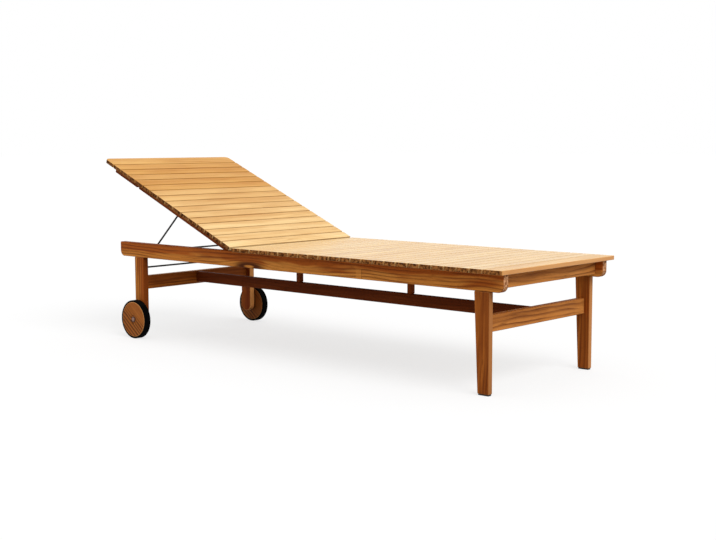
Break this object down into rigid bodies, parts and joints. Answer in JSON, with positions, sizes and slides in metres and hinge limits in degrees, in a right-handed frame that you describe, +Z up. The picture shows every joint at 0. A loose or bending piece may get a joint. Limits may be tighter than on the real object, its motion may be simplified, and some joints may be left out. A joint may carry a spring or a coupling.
{
  "type": "sun lounger",
  "caption": "Slatted wooden sun lounger with a reclining back held by a wire prop, tapered foot legs, low stretchers and wheels under the head end.",
  "frame": {"origin": "on the ground, under the middle of the whole lounger's box at rest", "axes": "+X towards the foot end, +Y to the left of a person lying on it, +Z up"},
  "size_m": [1.957, 0.6676, 0.7092],
  "materials": {
    "teak_slats": "oiled, fine straight grain",
    "teak_frame": "oiled, straight grain",
    "teak_wheel": "oiled, glued up from strips",
    "tyre_rubber": "matt",
    "dark_steel": "satin dark coating",
    "axle_steel": "brushed",
    "bush_plastic": "matt",
    "glide_plastic": "matt"
  },
  "bodies": {
    "frame": {"centre_bearer": "teak_frame", "centre_stretcher": "teak_frame", "foot_apron": "teak_frame", "foot_board": "teak_slats", "foot_cross_stretcher": "teak_frame", "foot_glides": "glide_plastic", "foot_leg_left": "teak_frame", "foot_leg_right": "teak_frame", "head_cross_stretcher": "teak_frame", "head_leg_left": "teak_frame", "head_leg_right": "teak_frame", "hinge_cross_rail": "teak_frame", "hinge_pins": "axle_steel", "leg_tie_rod": "dark_steel", "prop_rack_left": "teak_frame", "prop_rack_right": "teak_frame", "seat_slat_01": "teak_slats", "seat_slat_02": "teak_slats", "seat_slat_03": "teak_slats", "seat_slat_04": "teak_slats", "seat_slat_05": "teak_slats", "seat_slat_06": "teak_slats", "seat_slat_07": "teak_slats", "seat_slat_08": "teak_slats", "seat_slat_09": "teak_slats", "seat_slat_10": "teak_slats", "seat_slat_11": "teak_slats", "seat_slat_12": "teak_slats", "seat_slat_13": "teak_slats", "seat_slat_14": "teak_slats", "seat_slat_15": "teak_slats", "seat_slat_16": "teak_slats", "seat_slat_17": "teak_slats", "seat_slat_18": "teak_slats", "seat_slat_19": "teak_slats", "seat_slat_20": "teak_slats", "seat_slat_21": "teak_slats", "seat_slat_22": "teak_slats", "seat_slat_23": "teak_slats", "side_rail_left": "teak_frame", "side_rail_right": "teak_frame", "stretcher_post_foot": "teak_frame", "stretcher_post_head": "teak_frame", "wheel_axle_left": "axle_steel", "wheel_axle_right": "axle_steel"},
    "backrest": {"back_centre_batten": "teak_frame", "back_rail_left": "teak_frame", "back_rail_right": "teak_frame", "back_slats": "teak_slats", "back_top_board": "teak_slats"},
    "prop": {"prop_arm_left": "dark_steel", "prop_arm_right": "dark_steel", "prop_crossbar": "dark_steel"},
    "wheel_left": {"wheel_disc_left": "teak_wheel", "wheel_tyre_left": "tyre_rubber", "wheel_bush_left": "bush_plastic"},
    "wheel_right": {"wheel_disc_right": "teak_wheel", "wheel_tyre_right": "tyre_rubber", "wheel_bush_right": "bush_plastic"}
  },
  "joints": [
    {"name": "back_tilt", "type": "hinge", "parent": "frame", "child": "backrest", "pos_m": [-0.22247, 0, 0.3553], "axis": [0, 1, 0], "range_deg": [-23.16, 10]},
    {"name": "prop_swing", "type": "hinge", "parent": "backrest", "child": "prop", "pos_m": [-0.59483, 0, 0.51459], "axis": [0, -1, 0], "range_deg": [-62, 27]},
    {"name": "wheel_left_spin", "type": "hinge", "parent": "frame", "child": "wheel_left", "pos_m": [-0.78947, 0.318, 0.076], "axis": [0, 1, 0], "continuous": true},
    {"name": "wheel_right_spin", "type": "hinge", "parent": "frame", "child": "wheel_right", "pos_m": [-0.78947, -0.318, 0.076], "axis": [0, 1, 0], "continuous": true}
  ],
  "couplings": [
    {"joint": "prop_swing", "follows": "back_tilt", "ratio": 2.65}
  ]
}
